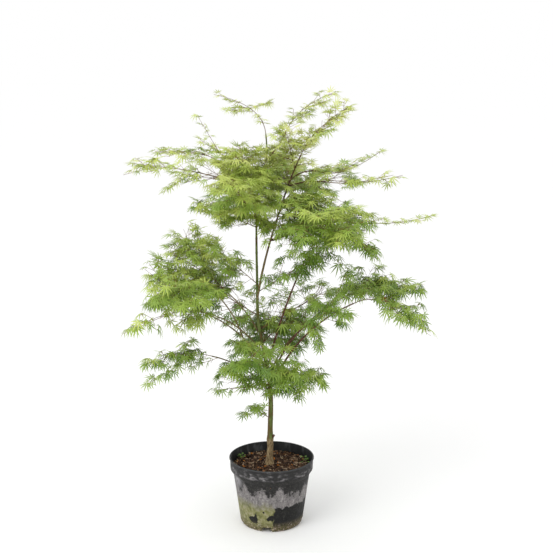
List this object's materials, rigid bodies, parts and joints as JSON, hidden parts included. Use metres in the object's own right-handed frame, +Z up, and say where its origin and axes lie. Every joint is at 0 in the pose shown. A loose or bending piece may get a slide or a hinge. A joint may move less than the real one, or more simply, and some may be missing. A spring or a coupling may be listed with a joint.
{
  "type": "potted japanese maple",
  "caption": "Upright cut-leaf maple tree with a slim forked trunk, arching boughs and tiers of drooping palmate leaves, growing in a round black plastic nursery pot.",
  "frame": {"origin": "the middle of the flat underside of the pot, on the level surface that it stands on", "axes": "+Z up along the pot's axis, +X to the right and -Y to the front as the plant is seen with its second stem on the right"},
  "size_m": [0.9869, 0.8643, 1.4255],
  "materials": {
    "pot": "black nursery plastic, scuffed grey, with a pale lime band and green algae on its wall",
    "soil": "coarse brown bark and peat compost",
    "bark_trunk": "grey-brown bark at the foot, smooth green with red-brown streaks above",
    "bark_green": "smooth green to red-brown young bark",
    "leaves_low": "deep green thin leaves",
    "leaves_middle": "mid green thin leaves",
    "leaves_top": "pale yellow-green thin leaves"
  },
  "bodies": {
    "root": {"pot": "pot", "soil": "soil", "trunk": "bark_trunk", "second_stem": "bark_green", "bough_top_high": "bark_green", "bough_upper_tip_left": "bark_green", "bough_upper_left_high": "bark_green", "bough_upper_left_long": "bark_green", "bough_arm_right_high": "bark_green", "bough_arm_right_low": "bark_green", "bough_arm_right_thin": "bark_green", "bough_upper_back_left": "bark_green", "bough_upper_back_right": "bark_green", "bough_under_right": "bark_green", "bough_left_crown": "bark_green", "bough_left_outer": "bark_green", "bough_left_front": "bark_green", "bough_left_droop": "bark_green", "bough_left_low": "bark_green", "bough_right_inner": "bark_green", "bough_right_crown": "bark_green", "bough_right_outer": "bark_green", "bough_right_low": "bark_green", "foliage_top_left": "leaves_top", "foliage_top_right": "leaves_top", "foliage_top_centre": "leaves_top", "foliage_top_high": "leaves_top", "foliage_upper_tip_left": "leaves_top", "foliage_upper_left_high": "leaves_top", "foliage_upper_left_long": "leaves_top", "foliage_arm_right_high": "leaves_top", "foliage_arm_right_low": "leaves_top", "foliage_arm_right_thin": "leaves_middle", "foliage_upper_centre": "leaves_top", "foliage_upper_centre_back": "leaves_top", "foliage_upper_right": "leaves_middle", "foliage_upper_right_front": "leaves_middle", "foliage_upper_front": "leaves_top", "foliage_upper_left_front": "leaves_middle", "foliage_upper_back_left": "leaves_middle", "foliage_upper_back_right": "leaves_middle", "foliage_under_right": "leaves_middle", "foliage_left_inner": "leaves_middle", "foliage_left_crown": "leaves_middle", "foliage_left_outer": "leaves_middle", "foliage_left_front": "leaves_middle", "foliage_left_droop": "leaves_low", "foliage_left_back": "leaves_middle", "foliage_left_low": "leaves_low", "foliage_left_low_inner": "leaves_low", "foliage_low_twig": "leaves_low", "foliage_centre_tuft": "leaves_middle", "foliage_centre_front": "leaves_low", "foliage_centre_back": "leaves_low", "foliage_right_inner": "leaves_middle", "foliage_right_crown": "leaves_middle", "foliage_right_outer": "leaves_low", "foliage_right_back": "leaves_low", "foliage_right_low": "leaves_low", "foliage_right_low_front": "leaves_low"}
  },
  "joints": []
}
